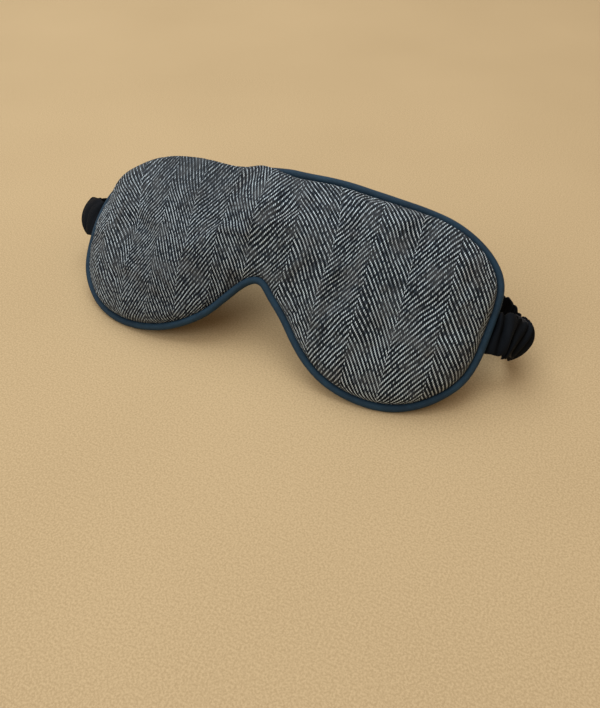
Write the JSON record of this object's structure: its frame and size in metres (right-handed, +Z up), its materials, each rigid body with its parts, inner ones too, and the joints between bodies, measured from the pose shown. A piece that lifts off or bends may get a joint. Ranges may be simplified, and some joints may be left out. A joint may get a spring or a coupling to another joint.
{
  "type": "sleep eye mask",
  "caption": "Padded sleep eye mask with a herringbone wool front, dark lining, corded piping and a gathered elastic strap, standing on its lobes and leaning on the strap.",
  "frame": {"origin": "centre of the bounding box's bottom, on the surface that the mask stands on", "axes": "+X along the mask's width, +Y towards its back where the face and the strap are, +Z up"},
  "size_m": [0.2358, 0.0902, 0.067],
  "materials": {
    "wool_front": "woven herringbone tweed, dry and slightly hairy",
    "wadding": "soft bonded fibre",
    "blackout": "close plain weave, matt",
    "lining": "soft satin weave, low sheen",
    "piping": "close cotton weave, matt",
    "cord": "soft twisted cotton",
    "thread": "spun thread",
    "strap": "fine weave with a soft sheen, gathered",
    "elastic": "woven elastic band"
  },
  "bodies": {
    "mask": {"front_panel": "wool_front", "wadding": "wadding", "blackout_interlining": "blackout", "back_lining": "lining", "piping_cover": "piping", "piping_cord": "cord", "edge_seam_thread": "thread", "strap_end_left": "strap", "strap_end_right": "strap"},
    "strap": {"strap_sleeve": "strap", "strap_elastic": "elastic"}
  },
  "joints": [
    {"name": "strap_swing", "type": "hinge", "parent": "mask", "child": "strap", "pos_m": [0, -0.00309, 0.02555], "axis": [1, 0, 0], "range_deg": [0, 50]}
  ]
}
